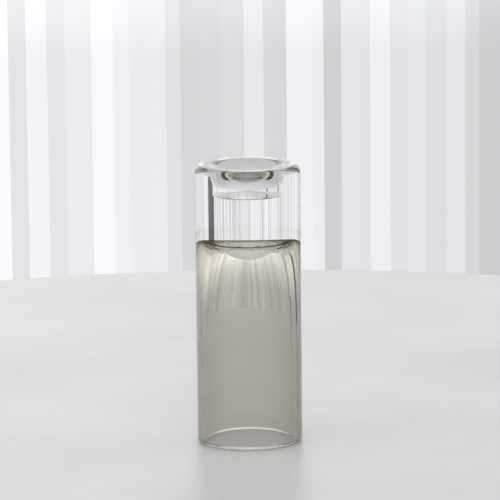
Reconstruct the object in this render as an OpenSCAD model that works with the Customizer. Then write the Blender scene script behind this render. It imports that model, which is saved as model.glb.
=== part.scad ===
// Two-way cased glass vessel: a clear glass body with a solid end block,
// a trumpet-mouthed candle well in the block, and a deep bullet-shaped cavity
// that is lined all over with a fused layer of smoke-grey glass.
// Millimetres. +Z up, origin at the centre of the ground rim it stands on.

/* [Overall] */
// Outside diameter of the whole vessel
outer_d = 90; // [75:1:130]
// Height from the ground rim to the land round the well
total_h = 240; // [160:1:320]
// Height of the solid end block, from the cavity's highest circle to the land
block_h = 67.1; // [50:0.1:100]
// Rounding of the outer shoulder at the block end
shoulder_r = 6.5; // [4:0.5:14]
// Width of the polished bevel round the outside of the rim
rim_bevel = 1.8; // [0.5:0.1:3]

/* [Cavity] */
// Thickness of the wall at the open rim, both glasses together
wall_t = 7; // [5:0.5:10]
// Diameter of the cavity's highest circle
ring_d = 50; // [30:1:70]
// How sharply the wall turns in under the block (higher is squarer)
turn_power = 4; // [3:0.1:8]
// How far the domed bottom hangs below the highest circle
dome_drop = 10.8; // [6:0.1:22]
// Sphere radius of the domed bottom
dome_r = 26; // [25:0.5:60]

/* [Smoke layer] */
// Thickness of the smoke-grey glass
smoke_t = 0.8; // [0.6:0.1:3]
// Bevel ground round the inside edge of the rim
inner_bevel = 2.2; // [0.5:0.1:3]

/* [Candle well] */
// Diameter of the straight part of the well, for a 38 mm tealight cup
well_d = 39.5; // [32:0.5:50]
// Depth of the well's floor below the land
well_depth = 26.5; // [21:0.5:36]
// Width of the flat land between the shoulder and the trumpet mouth
land_w = 5; // [1:0.5:8]
// Depth over which the mouth narrows to the straight part
flare_depth = 19; // [8:0.5:24]
// Shape of the trumpet mouth (2 is elliptical, lower is more conical)
flare_power = 2; // [1.2:0.1:3]
// Rounding between the well's wall and floor
well_fillet = 1; // [0.3:0.1:3]

/* [Hidden] */
$fn = 96;
outer_r = outer_d / 2;
bore_r = outer_r - wall_t;
cavity_h = total_h - block_h;
ring_r = ring_d / 2;
well_r = well_d / 2;
land_r = outer_r - shoulder_r;
mouth_r = land_r - land_w;
well_floor_z = total_h - well_depth;
flare_z = total_h - flare_depth;
dome_low_z = cavity_h - dome_drop;
side_n = 30;
dome_n = 9;
turn_n = 5;
// Angle on the dome's sphere where it starts to turn over into the ring
dome_a = min(50, asin(min(1, ring_r / dome_r)) * 0.88, acos(1 - 0.86 * dome_drop / dome_r));
dome_end = [dome_r * sin(dome_a), dome_low_z + dome_r * (1 - cos(dome_a))];
// Control point that makes the turn-over tangent to the dome and to the ring,
// kept inside the ring when the dome is steep or narrow
turn_c = [min(ring_r, dome_end[0] + (cavity_h - dome_end[1]) / tan(dome_a)), cavity_h];
// Height at which the smoke glass ends on the ground bevel
smoke_end_z = max(0, inner_bevel - smoke_t);

// Cavity face from the axis to the rim: dome, turn-over, then the long side.
function bez(a, c, b, s) = (1 - s) * (1 - s) * a + 2 * s * (1 - s) * c + s * s * b;
function cavity_line() = concat(
    [for (i = [0:dome_n]) let (a = dome_a * i / dome_n)
        [dome_r * sin(a), dome_low_z + dome_r * (1 - cos(a))]],
    [for (i = [1:turn_n]) bez(dome_end, turn_c, [ring_r, cavity_h], i / turn_n)],
    [for (i = [1:side_n]) let (t = 90 * (1 - i / side_n))
        [ring_r + (bore_r - ring_r) * cos(t),
         i == side_n ? 0 : cavity_h * pow(sin(t), 2 / turn_power)]]);

// The same line moved into the glass by d, square to itself.
function unit(v) = v / norm(v);
function moved(p, d) = let (n = len(p)) [for (i = [0:n - 1])
    let (t = unit(p[min(i + 1, n - 1)] - p[max(i - 1, 0)]),
         q = p[i] + d * [-t[1], t[0]])
    i == 0 ? [0, p[0][1] + d] : i == n - 1 ? [p[i][0] + d, smoke_end_z] : q];

function arc(c, r, a0, a1, n) = [for (i = [0:n]) let (a = a0 + (a1 - a0) * i / n)
    c + r * [cos(a), sin(a)]];

// Trumpet mouth from the land down to the straight part.
function flare_line(n) = [for (i = [0:n]) let (a = 90 * i / n,
        s = pow(cos(a), 2 / flare_power), w = 1 - pow(sin(a), 2 / flare_power))
    [well_r + (mouth_r - well_r) * w, flare_z + flare_depth * s]];

inner_line = cavity_line();
shared_line = moved(inner_line, smoke_t);

function reversed(p) = [for (i = [len(p) - 1:-1:0]) p[i]];

module clear_body() {
    profile = concat(
        smoke_end_z > 0 ? [[bore_r + inner_bevel, 0]] : [],
        [[outer_r - rim_bevel, 0], [outer_r, rim_bevel]],
        arc([land_r, total_h - shoulder_r], shoulder_r, 0, 90, 12),
        flare_line(12),
        arc([well_r - well_fillet, well_floor_z + well_fillet], well_fillet, 0, -90, 4),
        [[0, well_floor_z]],
        shared_line);
    color([0.93, 0.95, 0.95, 0.35])
        rotate_extrude() polygon(profile);
}

module smoke_layer() {
    last = len(inner_line) - 1;
    profile = concat(
        shared_line,
        smoke_end_z > 0 ? [] : [[bore_r + inner_bevel, 0]],
        [[bore_r, inner_bevel]],
        reversed([for (i = [0:last - 1]) inner_line[i]]));
    color([0.42, 0.41, 0.38, 0.55])
        rotate_extrude() polygon(profile);
}

clear_body();
smoke_layer();
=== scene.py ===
# Cased glass vessel: clear glass with a solid block and a candle well on top,
# over a tall cavity lined with smoke-grey glass. Metres, Z up.
import math

import bmesh
import bpy
from mathutils import Matrix, Quaternion, Vector


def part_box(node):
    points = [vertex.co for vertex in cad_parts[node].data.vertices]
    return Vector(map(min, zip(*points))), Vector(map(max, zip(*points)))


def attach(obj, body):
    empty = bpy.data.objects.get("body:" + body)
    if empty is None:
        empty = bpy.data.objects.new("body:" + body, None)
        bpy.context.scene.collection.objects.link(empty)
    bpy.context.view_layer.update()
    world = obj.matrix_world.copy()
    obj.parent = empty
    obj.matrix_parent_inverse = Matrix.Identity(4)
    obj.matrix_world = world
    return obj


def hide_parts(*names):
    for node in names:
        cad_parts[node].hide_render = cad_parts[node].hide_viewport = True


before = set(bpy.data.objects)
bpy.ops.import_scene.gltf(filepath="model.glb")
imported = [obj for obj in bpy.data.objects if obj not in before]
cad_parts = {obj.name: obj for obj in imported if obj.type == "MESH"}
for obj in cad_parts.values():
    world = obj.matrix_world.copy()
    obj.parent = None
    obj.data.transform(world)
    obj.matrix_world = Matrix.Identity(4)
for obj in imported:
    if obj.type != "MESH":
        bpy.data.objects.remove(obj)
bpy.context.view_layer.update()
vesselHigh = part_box("clear_body")[1]
mm = 0.001

vessel = {
    "radius": vesselHigh.x,
    "height": vesselHigh.z,
    "turns": 288,              # faces round the circle
    "creaseDegrees": 24,       # sharper edges than this stay crisp
    "weld": 0.002 * mm,        # points nearer than this are one
    "shortest": 0.0005 * mm,   # edges shorter than this go
}


def onCircle(centre, radius, fromDegrees, toDegrees, steps):
    # points on an arc in the (r, z) plane
    points = []
    for i in range(steps + 1):
        a = math.radians(fromDegrees + (toDegrees - fromDegrees) * i / steps)
        points.append((centre[0] + radius * math.cos(a), centre[1] + radius * math.sin(a)))
    return points


def spinProfile(bm, points, slotIndex=0):
    # turns one line of (r, z) points round Z: an eighth by spin, then three doublings
    old = set(bm.faces)
    verts = [bm.verts.new((r, 0.0, z)) for r, z in points]
    edges = [bm.edges.new(pair) for pair in zip(verts, verts[1:])]
    bmesh.ops.spin(bm, geom=verts + edges, cent=(0, 0, 0), axis=(0, 0, 1), dvec=(0, 0, 0),
                   angle=math.tau / 8, steps=vessel["turns"] // 8, use_duplicate=False)
    for share in (8, 4, 2):
        made = [f for f in bm.faces if f not in old]
        copy = bmesh.ops.duplicate(bm, geom=made)["geom"]
        bmesh.ops.rotate(bm, cent=(0, 0, 0), matrix=Matrix.Rotation(math.tau / share, 3, "Z"),
                         verts=[g for g in copy if isinstance(g, bmesh.types.BMVert)])
    made = [f for f in bm.faces if f not in old]
    for f in made:
        f.material_index = slotIndex
        f.smooth = True
    return made


def closeShell(bm):
    # welds the poles and the seams between the spun lines, and turns the faces outwards
    bmesh.ops.remove_doubles(bm, verts=bm.verts[:], dist=vessel["weld"])
    bmesh.ops.dissolve_degenerate(bm, edges=bm.edges[:], dist=vessel["shortest"])
    bmesh.ops.recalc_face_normals(bm, faces=bm.faces[:])


def asPiece(bm, name, materials):
    mesh = bpy.data.meshes.new(name)
    bm.to_mesh(mesh)
    bm.free()
    mesh.set_sharp_from_angle(angle=math.radians(vessel["creaseDegrees"]))
    for m in materials:
        mesh.materials.append(m)
    piece = bpy.data.objects.new(name, mesh)
    bpy.context.scene.collection.objects.link(piece)
    return piece


# the cavity line that both glasses share

cavity = {
    "wall": 7.0 * mm,          # both glasses together at the rim
    "blockHeight": 67.1 * mm,  # from the cavity's highest circle to the land
    "ringRadius": 25.0 * mm,   # that highest circle
    "turnPower": 4.0,          # how squarely the wall turns in
    "domeDrop": 10.8 * mm,     # how far the domed bottom hangs
    "domeRadius": 26.0 * mm,
    "reachLimit": 50,          # the sphere ends at this angle, in degrees,
    "reachShare": 0.88,        # or at this share of the angle to the ring,
    "reachHeight": 0.86,       # or at this share of the hang
    "domeSteps": 28, "turnSteps": 10, "sideSteps": 72,
}


def cavityLine():
    # from the axis out over the hanging dome, round the turn and down the long side
    top = vessel["height"] - cavity["blockHeight"]
    low = top - cavity["domeDrop"]
    ring, sphere = cavity["ringRadius"], cavity["domeRadius"]
    bore = vessel["radius"] - cavity["wall"]
    reach = min(math.radians(cavity["reachLimit"]),
                math.asin(min(1, ring / sphere)) * cavity["reachShare"],
                math.acos(1 - cavity["reachHeight"] * cavity["domeDrop"] / sphere))
    points = [(sphere * math.sin(reach * i / cavity["domeSteps"]),
               low + sphere * (1 - math.cos(reach * i / cavity["domeSteps"])))
              for i in range(cavity["domeSteps"] + 1)]
    start = points[-1]
    corner = (min(ring, start[0] + (top - start[1]) / math.tan(reach)), top)
    for i in range(1, cavity["turnSteps"] + 1):
        s = i / cavity["turnSteps"]
        points.append(tuple((1 - s) ** 2 * a + 2 * s * (1 - s) * c + s * s * b
                            for a, c, b in zip(start, corner, (ring, top))))
    for i in range(1, cavity["sideSteps"] + 1):
        t = math.radians(90 * (1 - i / cavity["sideSteps"]))
        last = i == cavity["sideSteps"]
        points.append((ring + (bore - ring) * math.cos(t),
                       0.0 if last else top * math.sin(t) ** (2 / cavity["turnPower"])))
    return points


def movedIntoGlass(points, distance, endHeight):
    # the same line a little deeper in the glass, square to itself
    out = []
    for i, (r, z) in enumerate(points):
        before, after = points[max(i - 1, 0)], points[min(i + 1, len(points) - 1)]
        dr, dz = after[0] - before[0], after[1] - before[1]
        length = math.hypot(dr, dz)
        out.append((r - dz / length * distance, z + dr / length * distance))
    out[0] = (0.0, points[0][1] + distance)
    out[-1] = (points[-1][0] + distance, endHeight)
    return out


# clear body and smoke layer

clearBody = {
    "shoulder": 6.5 * mm,      # rounding at the block end
    "rimBevel": 1.8 * mm,      # polished bevel outside the rim
    "landWidth": 5.0 * mm,     # flat ring round the bell mouth
    "flareDepth": 19.0 * mm,   # bell mouth down to the straight part
    "flarePower": 2.0,         # 2 makes the mouth a quarter of an ellipse
    "wellRadius": 19.75 * mm,  # takes a 38 mm tealight cup
    "wellDepth": 26.5 * mm,
    "floorRounding": 1.0 * mm,
    "shoulderSteps": 28, "mouthSteps": 32, "floorSteps": 8,
}
smokeLayer = {
    "thickness": 0.8 * mm,
    "innerBevel": 2.2 * mm,    # ground bevel inside the rim
    "gap": 0.03 * mm,          # keeps the two fused faces from lying in one place
}


def bellMouth():
    # quarter of a trumpet, from the land down to the straight part of the well
    mouth = vessel["radius"] - clearBody["shoulder"] - clearBody["landWidth"]
    well, steps = clearBody["wellRadius"], clearBody["mouthSteps"]
    power, depth = 2 / clearBody["flarePower"], clearBody["flareDepth"]
    points = []
    for i in range(steps + 1):
        a = math.pi / 2 * i / steps
        points.append((well + (mouth - well) * (1 - math.sin(a) ** power),
                       vessel["height"] - depth + depth * max(math.cos(a), 0.0) ** power))
    return points


def makeClearBody(materials):
    radius, height = vessel["radius"], vessel["height"]
    smokeEnd = smokeLayer["innerBevel"] - smokeLayer["thickness"]
    bore = radius - cavity["wall"]
    shoulder, rounding = clearBody["shoulder"], clearBody["floorRounding"]
    well, wellFloor = clearBody["wellRadius"], height - clearBody["wellDepth"]
    outside = [(bore + smokeLayer["thickness"], smokeEnd),
               (bore + smokeLayer["innerBevel"], 0.0),
               (radius - clearBody["rimBevel"], 0.0),
               (radius, clearBody["rimBevel"])]
    outside += onCircle((radius - shoulder, height - shoulder), shoulder, 0, 90,
                        clearBody["shoulderSteps"])
    outside += bellMouth()
    outside += onCircle((well - rounding, wellFloor + rounding), rounding, 0, -90,
                        clearBody["floorSteps"])[1:]
    outside += [(0.0, wellFloor)]
    fused = movedIntoGlass(cavityLine(), smokeLayer["thickness"], smokeEnd)
    bm = bmesh.new()
    spinProfile(bm, outside, 0)
    spinProfile(bm, fused, 1)
    closeShell(bm)
    return asPiece(bm, "clearBody", materials)


def makeSmokeLayer(material):
    bore = vessel["radius"] - cavity["wall"]
    smokeEnd = smokeLayer["innerBevel"] - smokeLayer["thickness"]
    inner = cavityLine()
    fused = movedIntoGlass(inner, smokeLayer["thickness"] - smokeLayer["gap"],
                           smokeEnd + smokeLayer["gap"])
    airSide = inner[:-1] + [(bore, smokeLayer["innerBevel"]), fused[-1]]
    bm = bmesh.new()
    fusedMark = bm.faces.layers.float.new("fused")    # the material reads this
    for f in spinProfile(bm, fused):
        f[fusedMark] = 1.0
    spinProfile(bm, airSide)
    closeShell(bm)
    return asPiece(bm, "smokeLayer", [material])


# materials

glassLook = {
    "tint": (1, 1, 1, 1),
    "roughness": 0.0,          # polished, before the smear and the ground rim
    "ior": 1.5,
    "smokeColour": (0.892, 0.885, 0.864, 1),
    "smokeDensity": 3650.0,    # high, because the layer is under a millimetre thick
}


def newMaterial(name):
    m = bpy.data.materials.new(name)
    m.use_nodes = True
    m.node_tree.nodes.clear()
    out = m.node_tree.nodes.new("ShaderNodeOutputMaterial")
    return m, m.node_tree, out


def mathNode(tree, operation, *values):
    node = tree.nodes.new("ShaderNodeMath")
    node.operation = operation
    for socket, value in zip(node.inputs, values):
        if isinstance(value, (int, float)):
            socket.default_value = value
        else:
            tree.links.new(value, socket)
    return node.outputs[0]


def mapRange(tree, value, low, high, atLow, atHigh):
    node = tree.nodes.new("ShaderNodeMapRange")
    tree.links.new(value, node.inputs["Value"])
    for socket, number in (("From Min", low), ("From Max", high),
                           ("To Min", atLow), ("To Max", atHigh)):
        node.inputs[socket].default_value = number
    return node.outputs[0]


handWork = {
    "waveScale": 38.0, "waveDetail": 1.0,
    "waveStretch": (1.0, 1.0, 0.3),    # longer upright than across
    "waveHeight": 0.6 * mm, "waveStrength": 0.06,
    "smearScale": 30.0, "smearDetail": 4.0,
    "smearRange": (0.58, 0.85), "smearRoughness": 0.007,
    "groundTop": (1.6 * mm, 2.2 * mm), "groundRoughness": 0.60,    # fades out between these heights
}


def addWorkedSurface(tree, glass):
    # faint upright waves from the blowing, a breath of smear, and the ground rim
    place = tree.nodes.new("ShaderNodeTexCoord")
    stretch = tree.nodes.new("ShaderNodeVectorMath")
    stretch.operation = "MULTIPLY"
    stretch.inputs[1].default_value = handWork["waveStretch"]
    tree.links.new(place.outputs["Object"], stretch.inputs[0])
    waves = tree.nodes.new("ShaderNodeTexNoise")
    waves.inputs["Scale"].default_value = handWork["waveScale"]
    waves.inputs["Detail"].default_value = handWork["waveDetail"]
    tree.links.new(stretch.outputs[0], waves.inputs["Vector"])
    bump = tree.nodes.new("ShaderNodeBump")
    bump.inputs["Strength"].default_value = handWork["waveStrength"]
    bump.inputs["Distance"].default_value = handWork["waveHeight"]
    tree.links.new(waves.outputs["Fac"], bump.inputs["Height"])
    tree.links.new(bump.outputs[0], glass.inputs["Normal"])

    smear = tree.nodes.new("ShaderNodeTexNoise")
    smear.inputs["Scale"].default_value = handWork["smearScale"]
    smear.inputs["Detail"].default_value = handWork["smearDetail"]
    tree.links.new(place.outputs["Object"], smear.inputs["Vector"])
    smearRoughness = mapRange(tree, smear.outputs["Fac"], *handWork["smearRange"],
                              glassLook["roughness"], handWork["smearRoughness"])
    split = tree.nodes.new("ShaderNodeSeparateXYZ")
    tree.links.new(place.outputs["Object"], split.inputs[0])
    groundRoughness = mapRange(tree, split.outputs[2], *handWork["groundTop"],
                               handWork["groundRoughness"], glassLook["roughness"])
    tree.links.new(mathNode(tree, "MAXIMUM", smearRoughness, groundRoughness),
                   glass.inputs["Roughness"])


def addGlass(tree):
    glass = tree.nodes.new("ShaderNodeBsdfPrincipled")
    glass.inputs["Base Color"].default_value = glassLook["tint"]
    glass.inputs["Roughness"].default_value = glassLook["roughness"]
    glass.inputs["IOR"].default_value = glassLook["ior"]
    glass.inputs["Transmission Weight"].default_value = 1.0
    addWorkedSurface(tree, glass)
    return glass


def clearGlassMaterial():
    m, tree, out = newMaterial("clearGlass")
    glass = addGlass(tree)
    tree.links.new(glass.outputs[0], out.inputs["Surface"])
    return m


def fusedFaceMaterial():
    # the two glasses are melted together here, so light goes straight on
    m, tree, out = newMaterial("fusedFace")
    through = tree.nodes.new("ShaderNodeBsdfTransparent")
    tree.links.new(through.outputs[0], out.inputs["Surface"])
    return m


def smokeGlassMaterial():
    # one shader for the whole piece, glass on the air side and clear through on the fused side
    m, tree, out = newMaterial("smokeGlass")
    glass = addGlass(tree)
    through = tree.nodes.new("ShaderNodeBsdfTransparent")
    mark = tree.nodes.new("ShaderNodeAttribute")
    mark.attribute_name = "fused"
    mix = tree.nodes.new("ShaderNodeMixShader")
    tree.links.new(mark.outputs["Fac"], mix.inputs[0])
    tree.links.new(glass.outputs[0], mix.inputs[1])
    tree.links.new(through.outputs[0], mix.inputs[2])
    tree.links.new(mix.outputs[0], out.inputs["Surface"])
    smoke = tree.nodes.new("ShaderNodeVolumeAbsorption")
    smoke.inputs["Color"].default_value = glassLook["smokeColour"]
    smoke.inputs["Density"].default_value = glassLook["smokeDensity"]
    tree.links.new(smoke.outputs[0], out.inputs["Volume"])
    return m


body = makeClearBody([clearGlassMaterial(), fusedFaceMaterial()])
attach(body, "root")
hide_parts("clear_body")
print("clear body made:", len(body.data.polygons), "faces")

liner = makeSmokeLayer(smokeGlassMaterial())
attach(liner, "root")
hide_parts("smoke_layer")
print("smoke layer made:", len(liner.data.polygons), "faces")


# table, curtain and light

table = {
    "radius": 0.780, "thickness": 0.02, "turns": 256,
    "colour": (0.222, 0.215, 0.212, 1), "roughness": 0.35,
    "glow": 0.185, "glowColour": (0.995, 0.985, 0.985, 1),    # painted fill light: the top glows to lift the shade under and inside the vessel
    "cloudScale": 5.0, "cloudDetail": 3.0,
    "cloudRange": (0.3, 0.7), "cloudDepth": 0.06,
}
curtain = {
    "radius": 4.6, "low": -1.7, "high": 2.2, "turns": 180,
    "glowColour": (0.962, 0.975, 1.0, 1),
    "darkPanel": (28.9, 36.9),      # degrees to the right of straight behind
    "panelDarkness": 0.88,
    "foldsPerDegree": 0.42, "foldDepth": 0.58,
    "pleatsPerDegree": 0.6, "pleatDepth": 0.22, "pleatDetail": 2.0,
    "shade": 0.42,
    "behind": (7.0, 12.0),          # degrees within which it hangs flatter and lighter
    "behindShade": 0.675, "behindDepth": 0.27, "behindSlant": -0.014,
    "lift": (-0.3, 0.7, 1.0, 2.2),  # from this height to that one, this gain to that one
}
room = {"colour": (0.75, 0.75, 0.77, 1), "strength": 1.5}


def makeTable():
    bm = bmesh.new()
    bmesh.ops.create_cone(bm, cap_ends=True, segments=table["turns"], radius1=table["radius"],
                          radius2=table["radius"], depth=table["thickness"],
                          matrix=Matrix.Translation((0, 0, -table["thickness"] / 2)))
    m, tree, out = newMaterial("paleTopPaintedFill")
    top = tree.nodes.new("ShaderNodeBsdfPrincipled")
    top.inputs["Base Color"].default_value = table["colour"]
    top.inputs["Roughness"].default_value = table["roughness"]
    # painted fill light: the top glows, a little unevenly in clouds, so the shade round and inside
    # the vessel stays light
    top.inputs["Emission Color"].default_value = table["glowColour"]
    place = tree.nodes.new("ShaderNodeTexCoord")
    clouds = tree.nodes.new("ShaderNodeTexNoise")
    clouds.inputs["Scale"].default_value = table["cloudScale"]
    clouds.inputs["Detail"].default_value = table["cloudDetail"]
    tree.links.new(place.outputs["Object"], clouds.inputs["Vector"])
    half = table["cloudDepth"] / 2
    glow = mapRange(tree, clouds.outputs["Fac"], *table["cloudRange"],
                    table["glow"] - half, table["glow"] + half)
    tree.links.new(glow, top.inputs["Emission Strength"])
    tree.links.new(top.outputs[0], out.inputs["Surface"])
    asPiece(bm, "table", [m])


def curtainMaterial():
    # soft light through hanging cloth: bands of tone by the angle round the room
    m, tree, out = newMaterial("softCurtain")

    def maths(operation, *values):
        return mathNode(tree, operation, *values)

    place = tree.nodes.new("ShaderNodeTexCoord")
    split = tree.nodes.new("ShaderNodeSeparateXYZ")
    tree.links.new(place.outputs["Object"], split.inputs[0])
    angle = maths("MULTIPLY", maths("ARCTAN2", split.outputs[0], split.outputs[1]), 180 / math.pi)

    folds = tree.nodes.new("ShaderNodeTexVoronoi")
    folds.voronoi_dimensions = "1D"
    tree.links.new(maths("MULTIPLY", angle, curtain["foldsPerDegree"]), folds.inputs["W"])
    foldTone = tree.nodes.new("ShaderNodeSeparateColor")
    tree.links.new(folds.outputs["Color"], foldTone.inputs[0])
    pleats = tree.nodes.new("ShaderNodeTexNoise")
    pleats.noise_dimensions = "1D"
    pleats.inputs["Detail"].default_value = curtain["pleatDetail"]
    tree.links.new(maths("MULTIPLY", angle, curtain["pleatsPerDegree"]), pleats.inputs["W"])
    tone = maths("ADD", maths("MULTIPLY", foldTone.outputs[0], curtain["foldDepth"]),
                 maths("MULTIPLY", pleats.outputs["Fac"], curtain["pleatDepth"]))
    tone = maths("ADD", tone, curtain["shade"])

    # straight behind the vessel
    plain = maths("ADD", maths("MULTIPLY", foldTone.outputs[0], curtain["behindDepth"]),
                  curtain["behindShade"])
    plain = maths("ADD", plain, maths("MULTIPLY", angle, curtain["behindSlant"]))
    aside = mapRange(tree, maths("ABSOLUTE", angle), *curtain["behind"], 0.0, 1.0)
    tone = maths("ADD", plain, maths("MULTIPLY", aside, maths("SUBTRACT", tone, plain)))

    # brighter higher up, with one dark panel
    tone = maths("MULTIPLY", tone, mapRange(tree, split.outputs[2], *curtain["lift"]))
    left, right = curtain["darkPanel"]
    panel = maths("MULTIPLY", maths("GREATER_THAN", angle, left), maths("LESS_THAN", angle, right))
    light = maths("MULTIPLY", tone,
                  maths("SUBTRACT", 1.0, maths("MULTIPLY", panel, curtain["panelDarkness"])))
    glow = tree.nodes.new("ShaderNodeEmission")
    glow.inputs["Color"].default_value = curtain["glowColour"]
    tree.links.new(light, glow.inputs["Strength"])
    tree.links.new(glow.outputs[0], out.inputs["Surface"])
    m.cycles.emission_sampling = "NONE"
    return m


def makeCurtain():
    bm = bmesh.new()
    ends = [bm.verts.new((curtain["radius"], 0, curtain[k])) for k in ("low", "high")]
    edge = bm.edges.new(ends)
    bmesh.ops.spin(bm, geom=ends + [edge], cent=(0, 0, 0), axis=(0, 0, 1), dvec=(0, 0, 0),
                   angle=math.tau, steps=curtain["turns"], use_merge=True,
                   use_duplicate=False)
    for f in bm.faces:
        f.smooth = True
    asPiece(bm, "curtain", [curtainMaterial()])


makeTable()
makeCurtain()
scene = bpy.context.scene
scene.world = bpy.data.worlds.new("room")
scene.world.use_nodes = True
overhead = scene.world.node_tree.nodes["Background"]
overhead.inputs["Color"].default_value = room["colour"]
overhead.inputs["Strength"].default_value = room["strength"]
print("table, curtain and room light made")


# camera and light paths

camera = {
    "place": (0.0, -3.6, 0.8325),
    "lookAt": (0.0, 0.0, 0.1656),
    "rollDegrees": -0.6,
    "sensor": 36.0, "lens": 308.9,
    "shift": 0.0036,
}
lensData = bpy.data.cameras.new("camera")
lensData.sensor_width = camera["sensor"]
lensData.lens = camera["lens"]
lensData.shift_x = camera["shift"]
viewer = bpy.data.objects.new("camera", lensData)
scene.collection.objects.link(viewer)
scene.camera = viewer
viewer.location = camera["place"]
viewer.rotation_mode = "QUATERNION"
toward = Vector(camera["lookAt"]) - Vector(camera["place"])
viewer.rotation_quaternion = (toward.to_track_quat("-Z", "Y")
                              @ Quaternion((0, 0, 1), math.radians(camera["rollDegrees"])))

lightPaths = {"all": 24, "glossy": 12, "throughFused": 64}    # many glass faces in a row
scene.cycles.max_bounces = lightPaths["all"]
scene.cycles.transmission_bounces = lightPaths["all"]
scene.cycles.glossy_bounces = lightPaths["glossy"]
scene.cycles.transparent_max_bounces = lightPaths["throughFused"]
scene.cycles.use_denoising = True
scene.view_settings.view_transform = "Standard"
print("camera set")
